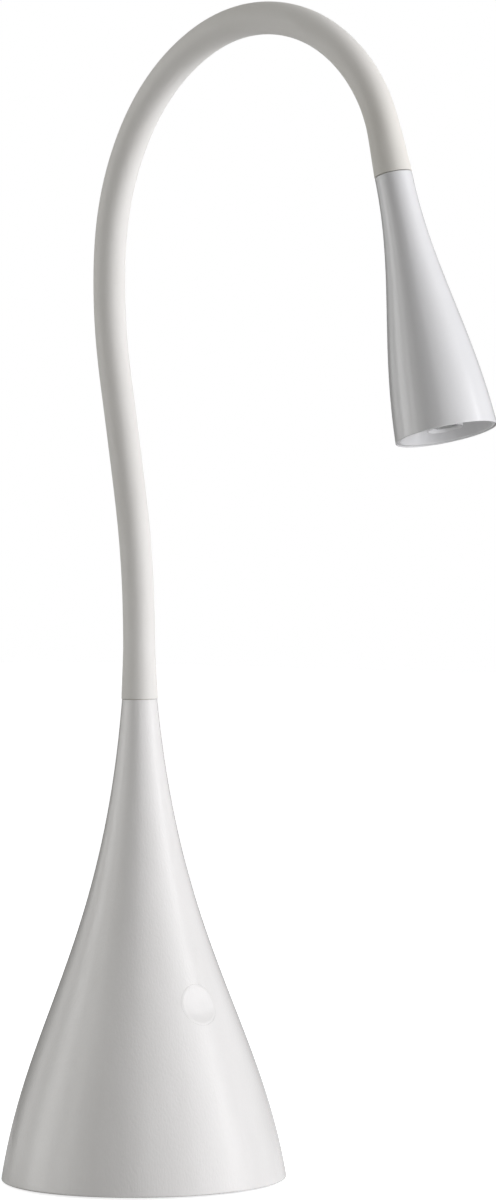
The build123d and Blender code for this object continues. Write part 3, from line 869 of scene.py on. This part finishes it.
# wound core between its seats: its outside dips by a cosine that runs round once in each pitch; a plain bore
def coreGrid(first, last):
    first, last = max(first, core["seat"]), min(last, neckLength - core["seat"])
    wound = np.linspace(first, last, int((last - first) / core["pitch"] * core["rowsPerTurn"]))
    bore = np.linspace(last, first, core["boreRows"])
    radius = np.concatenate([np.full(len(wound), core["radius"]), np.full(len(bore), core["bore"])])
    depth = np.concatenate([np.full(len(wound), core["wireDepth"]), np.zeros(len(bore))])[:, None]

    def groove(distance, turn):
        return depth * (np.cos(2 * pi * distance / core["pitch"] - turn) - 1) / 2

    return neckTube(np.concatenate([wound, bore]), radius, core["around"], helix=groove)


# two leads side by side, drawn to a point at each end
def leadGrids(first, last):
    run = np.linspace(first, last, int((last - first) / leads["step"]) + 2)
    run = np.concatenate([run[:1], run, run[-1:]])
    radius = np.full(len(run), leads["radius"])
    radius[[0, -1]] = 0
    return [neckTube(run, radius, leads["around"], side * leads["spacing"] / 2) for side in (-1, 1)]


# one span of sleeve, core and leads across each hinge;
# the leads run on to the driver in the base and to the board in the head
def makeNeckSpan(number, first, last):
    isFirst, isLast = number == 1, number == len(hinges)
    leadFirst = leads["driverTop"] - base["throat"][1] if isFirst else first
    leadLast = neckLength + head["length"] - leads["boardBack"] if isLast else last
    wires = [(wire, False, True) for wire in leadGrids(leadFirst, leadLast)]
    made = (
        ("neck_sleeve", "sleeve_silicone", [(sleeveGrid(first, last), True, True)], "neckSleeve"),
        ("neck_core", "core_steel", [(coreGrid(first, last), True, True)], "neckCore"),
        ("neck_leads", "lead_insulation", wires, "neckLeads"),
    )
    sections = [1, 0] if isFirst else [number]
    for node, slot, grids, name in made:
        piece = pieceFromGrids(f"{name}{number}", grids, finishes[slot])
        # the sleeve's points get their share of the painted shade by the head
        if slot == "sleeve_silicone":
            markPaintedShadeNearHead(piece)
        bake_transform(piece)
        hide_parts(*[f"{node}_{section}" for section in sections])


# painted shade: the sleeve's colour is darkened and warmed near the head
addPaintedShadeNearHead(finishes["sleeve_silicone"])
middles = (hingeStations[:-1] + hingeStations[1:]) / 2
cuts = np.concatenate([[neck["seamGap"]], middles, [neckLength - neck["seamGap"]]])
for number, hinge in enumerate(hinges, 1):
    makeNeckSpan(number, cuts[number - 1], cuts[number])
print("neck done:", len(hinges), "spans")


# Head: shell, reflector dish, lens holder and lens, turned about the head's own axis

headDirection = np.array((cos(headHeading), 0, sin(headHeading)))
headPlace = placeAt(headSeam + head["length"] * headDirection, -headDirection, (0, 1, 0))

headOuter = trumpetWall(head["mouth"], head["throat"])
headInner = trumpetWall(head["mouth"], head["throat"], head["wall"])
headRimInner = trumpetWall(head["mouth"], head["throat"], head["rimWall"])


def makeHeadPiece(name, outline, finish, slot, node, around=96):
    piece = turnedPiece(name, outline, finishes[finish], headPlace, around)
    finishPiece(piece, "head", slot, node)


# outline down the outside, round the rim to the dish's seat, up the inside past the sink's shoulder,
# along the web and out over the lip
def makeHeadShell():
    top, ledge = head["length"], head["length"] - head["web"]
    rows = np.linspace(head["rimZone"], top - head["rimZone"], head["outerRows"])
    outer = np.stack([headOuter(rows), rows], axis=1)[::-1]
    seat, sink = head["dishSeat"], head["sinkSeat"]
    lowerFrom = seat + head["seatRun"]
    shoulderTop = sink + head["shoulderThick"]
    shoulderRadius = headInner(sink) - head["shoulder"]
    upperFrom = shoulderTop + head["shoulderRun"]
    rim = roundedOutline([
        wallCorner(headOuter, rows[0]),
        wallCorner(headOuter, 0.0, head["rimRound"]),
        wallCorner(headRimInner, 0.0, head["rimRound"]),
        wallCorner(headRimInner, seat, head["seatRound"]),
        wallCorner(headInner, seat, head["seatRound"]),
        wallCorner(headInner, lowerFrom),
    ], closed=False)[1:]
    lowerRows = np.linspace(lowerFrom, sink, head["lowerRows"])[1:-1]
    lower = np.stack([headInner(lowerRows), lowerRows], axis=1)
    shoulder = roundedOutline([
        wallCorner(headInner, lowerRows[-1]),
        wallCorner(headInner, sink, head["shoulderRound"]),
        (shoulderRadius, sink, head["shoulderRound"]),
        (shoulderRadius, shoulderTop, head["shoulderRound"]),
        wallCorner(headInner, shoulderTop, head["shoulderRound"]),
        wallCorner(headInner, upperFrom),
    ], closed=False)[1:]
    upperRows = np.linspace(upperFrom, ledge, head["upperRows"])[1:-1]
    upper = np.stack([headInner(upperRows), upperRows], axis=1)
    lip = roundedOutline([
        wallCorner(headInner, upperRows[-1]),
        wallCorner(headInner, ledge, head["ledgeRound"]),
        (head["stemHole"], ledge, head["holeEdge"]),
        (head["stemHole"], top, head["holeEdge"]),
        wallCorner(headOuter, top, head["lipRound"]),
        wallCorner(headOuter, rows[-1]),
    ], closed=False)[1:-1]
    outline = np.concatenate([outer, rim, lower, shoulder, upper, lip])
    makeHeadPiece("headShell", outline, "head_plastic", "head_plastic", "head_shell", head["around"])


dish = {
    "rim": 0.35 * mm, "rimRound": 0.2 * mm, "lipRound": 0.4 * mm, "thick": 1.2 * mm, "depth": 9.05 * mm,
    "flange": 0.1 * mm, "wallRun": 3.0 * mm, "floorRise": 1.0 * mm, "hole": 6.95 * mm,
    "holeFront": 0.2 * mm, "holeBack": 0.1 * mm, "gap": 0.05 * mm, "bend": 3.0 * mm, "bendSteps": 12,
    "around": 128,
}


# bowl with a flat rim, a steep wall and a nearly flat floor round its hole, and a soft bend between the two
def makeDish():
    rim, thick, hole = dish["rim"], dish["thick"], dish["hole"]
    seat = rim + thick
    top = seat + dish["depth"]
    rimRadius = headRimInner(seat) - dish["gap"]
    wallRadius = rimRadius - dish["flange"]
    floorRadius, floor = wallRadius - dish["wallRun"], top - dish["floorRise"]
    outline = roundedOutline([
        (rimRadius, rim, dish["rimRound"]),
        (rimRadius, seat, dish["rimRound"]),
        (wallRadius, seat, 0),
        (floorRadius, floor, dish["bend"] + thick),
        (hole, top, dish["holeBack"]),
        (hole, top - thick, dish["holeFront"]),
        (floorRadius - thick, floor - thick, dish["bend"]),
        (wallRadius - thick, rim, dish["lipRound"]),
    ], steps=dish["bendSteps"])
    makeHeadPiece("reflectorDish", outline, "dish_plastic", "dish_plastic", "reflector_dish", dish["around"])


holder = {
    "front": 2.1 * mm, "back": 14.3 * mm, "radius": 6.9 * mm, "wall": 1.0 * mm,
    "lip": 0.35 * mm, "bevel": 1.0 * mm, "frontEdge": 0.12 * mm, "innerEdge": 0.1 * mm,
}
lens = {
    "recess": 0.9 * mm, "rimThick": 1.2 * mm, "tip": 3.2 * mm, "tipHeight": 11.7 * mm, "crown": 0.5 * mm,
    "gap": 0.05 * mm, "edge": 0.2 * mm, "faceMargin": 0.6 * mm, "faceRows": 20,
}


# tube with a thin front lip, bevelled inwards to the lens; its finish is the dish's plastic painted lighter, a
# painted highlight on the lip
def makeHolder():
    bore = holder["radius"] - holder["wall"]
    outline = roundedOutline([
        (holder["radius"], holder["front"], holder["frontEdge"]),
        (holder["radius"], holder["back"], holder["innerEdge"]),
        (bore, holder["back"], holder["innerEdge"]),
        (bore, holder["front"] + holder["bevel"], holder["innerEdge"]),
        (holder["radius"] - holder["lip"], holder["front"], holder["frontEdge"]),
    ])
    makeHeadPiece("lensHolder", outline, "ring_painted_highlight", "dish_plastic", "lens_holder")


# clear optic: a front face crowned by the square of the radius, a rim, and a cone that narrows to the light
def makeLens():
    radius = holder["radius"] - holder["wall"] - lens["gap"]
    front = holder["front"] + lens["recess"]
    face = np.linspace(0, radius - lens["faceMargin"], lens["faceRows"])
    crown = front + lens["crown"] * (face / radius) ** 2
    flank = roundedOutline([
        (face[-1], crown[-1], 0),
        (radius, front + lens["crown"], lens["edge"]),
        (radius, front + lens["rimThick"], lens["edge"]),
        (lens["tip"], lens["tipHeight"], lens["edge"]),
        (0, lens["tipHeight"], 0),
    ], closed=False)[1:]
    outline = np.concatenate([np.stack([face, crown], axis=1), flank])
    makeHeadPiece("lensOptic", outline, "clear_lens", "clear_lens", "lens")


makeHeadShell()
makeDish()
makeHolder()
makeLens()
print("head done")


# Camera at the photograph's angle

view = {
    "azimuth": 42.22, "distance": 2.0164, "side": 0.0439, "height": 0.2838, "pitch": 1.434, "roll": 0.481,
    "lens": 150.56, "clip": (0.05, 50),
}


def makeCamera():
    camera = addObject("camera", bpy.data.cameras.new("camera"))
    camera.data.lens = view["lens"]
    camera.data.clip_start, camera.data.clip_end = view["clip"]
    turn = radians(view["azimuth"])
    place = Vector((
        view["distance"] * sin(turn) + view["side"] * cos(turn),
        -view["distance"] * cos(turn) + view["side"] * sin(turn),
        view["height"],
    ))
    camera.matrix_world = (
        Matrix.Translation(place)
        @ Matrix.Rotation(turn, 4, "Z")
        @ Matrix.Rotation(radians(90 - view["pitch"]), 4, "X")
        @ Matrix.Rotation(radians(-view["roll"]), 4, "Z")
    )
    bpy.context.scene.camera = camera


makeCamera()
print("camera done")


# Stage: pale floor, white surroundings, one large soft light, weak ones around, dark cards for the gloss

stage = {
    "middle": Vector((0.04, 0, 0.25)),
    "white": (1, 1, 1, 1),
    "floorSize": 8.0,
    "floorLines": 9,
    "floorDrop": 0.05 * mm,
    "floorTone": (0.74, 0.74, 0.74, 1),
    "floorRoughness": 0.9,
    "floorGlow": 0.82,
    "surround": 0.25,
    "surroundTone": (1.0, 0.99, 0.965, 1),
    "cardTone": (0.02, 0.02, 0.02, 1),
    "cardRoughness": 1.0,
}
softboxes = {
    "keyRight": {
        "azimuth": 72.0, "size": (1.2, 1.4), "power": 26.2, "tone": (0.985, 0.985, 1.03), "gloss": False,
    },
    "keyStrip": {"azimuth": 83.0, "size": (0.25, 1.4), "power": 1.8},
    "fillLeft": {"azimuth": -94.0, "size": (0.65, 1.4), "power": 5.7},
    "stripLeft": {"azimuth": -71.0, "size": (0.36, 1.4), "power": 2.3, "diffuse": False},
    "rimBehind": {"azimuth": -165.0, "size": (0.4, 1.4), "power": 1.3},
    "skyTop": {"azimuth": 0.0, "elevation": 88.0, "size": (0.9, 0.9), "power": 1.4},
}
cards = {
    "cardFrontLeft": {"azimuth": -26.0, "spread": 42.0},
    "cardBehindLeft": {"azimuth": -156.0, "spread": 44.0, "distance": 0.6},
    "cardBehindRight": {"azimuth": 132.0, "spread": 88.0},
}


# place on a circle round the lamp, facing it, at an azimuth counted from the camera's side, to the right
def stagePlace(azimuth, elevation, distance):
    turn, rise = radians(view["azimuth"] + azimuth), radians(elevation)
    out = Vector((sin(turn) * cos(rise), -cos(turn) * cos(rise), sin(rise)))
    facing = out.to_track_quat("Z", "Y").to_matrix().to_4x4()
    return Matrix.Translation(stage["middle"] + out * distance) @ facing


# soft light; without gloss it stays out of reflections, without diffuse it shows in reflections alone
def makeSoftbox(name, azimuth, size, power, elevation=5.0, distance=1.5, tone=(1, 1, 1),
                gloss=True, diffuse=True):
    light = bpy.data.lights.new(name, "AREA")
    light.shape = "RECTANGLE"
    light.size, light.size_y = size
    light.energy = power
    light.color = tone
    box = addObject(name, light)
    box.matrix_world = stagePlace(azimuth, elevation, distance)
    box.visible_glossy = gloss
    box.visible_diffuse = diffuse


# black card that only shows in gloss: a flat sheet as wide as its spread in degrees
def makeCard(name, azimuth, spread, distance=1.2, height=2.2):
    half = distance * np.tan(radians(spread) / 2)
    x, y = np.meshgrid([-half, half], [-height / 2, height / 2], indexing="ij")
    grid = placed(np.array(stagePlace(azimuth, 0.0, distance)), x, y, 0)
    material, tree = newMaterial("cardBlack")
    feedPrincipled(tree, {"Base Color": stage["cardTone"], "Roughness": stage["cardRoughness"]})
    card = pieceFromGrids(name, [(grid, False, False)], material)
    card.visible_camera = card.visible_diffuse = card.visible_transmission = card.visible_shadow = False


# plain white to the camera, to gloss and through glass; a dimmer tone as light on the object
def makeSurround():
    world = bpy.data.worlds.new("surround")
    bpy.context.scene.world = world
    world.use_nodes = True
    tree = world.node_tree
    seen = tree.nodes["Background"]
    seen.inputs["Color"].default_value = stage["white"]
    dim = {"Color": stage["surroundTone"], "Strength": stage["surround"]}
    lit = addNode(tree, "ShaderNodeBackground", dim)
    path = addNode(tree, "ShaderNodeLightPath").outputs
    plain = path["Is Camera Ray"]
    for ray in ("Is Glossy Ray", "Is Transmission Ray"):
        plain = addNode(tree, "ShaderNodeMath", {0: plain, 1: path[ray]}, operation="MAXIMUM").outputs[0]
    mix = addNode(tree, "ShaderNodeMixShader", {"Fac": plain, 1: lit.outputs[0], 2: seen.outputs[0]})
    tree.links.new(mix.outputs[0], tree.nodes["World Output"].inputs["Surface"])


# pale floor, a hair below the foot; its glow is for the camera alone, and it is clear from below,
# so that the underside can be seen
def makeFloor():
    half = stage["floorSize"] / 2
    side = np.linspace(-half, half, stage["floorLines"])
    x, y = np.meshgrid(side, side, indexing="ij")
    grid = np.stack([x, y, 0 * x - stage["floorDrop"]], axis=-1)
    material, tree = newMaterial("floorPale")
    seen = addNode(tree, "ShaderNodeLightPath").outputs["Is Camera Ray"]
    glow = addNode(tree, "ShaderNodeMath", {0: seen, 1: stage["floorGlow"]}, operation="MULTIPLY")
    below = addNode(tree, "ShaderNodeNewGeometry").outputs["Backfacing"]
    solid = addNode(tree, "ShaderNodeMath", {0: 1.0, 1: below}, operation="SUBTRACT")
    feedPrincipled(tree, {
        "Base Color": stage["floorTone"],
        "Roughness": stage["floorRoughness"],
        "Emission Color": stage["white"],
        "Emission Strength": glow.outputs[0],
        "Alpha": solid.outputs[0],
    })
    floor = pieceFromGrids("floor", [(grid, False, False)], material)
    floor.data.flip_normals()  # an open sheet comes out facing down


makeSurround()
makeFloor()
for name, settings in softboxes.items():
    makeSoftbox(name, **settings)
for name, settings in cards.items():
    makeCard(name, **settings)
bpy.context.scene.view_settings.view_transform = "Standard"
print("stage done")
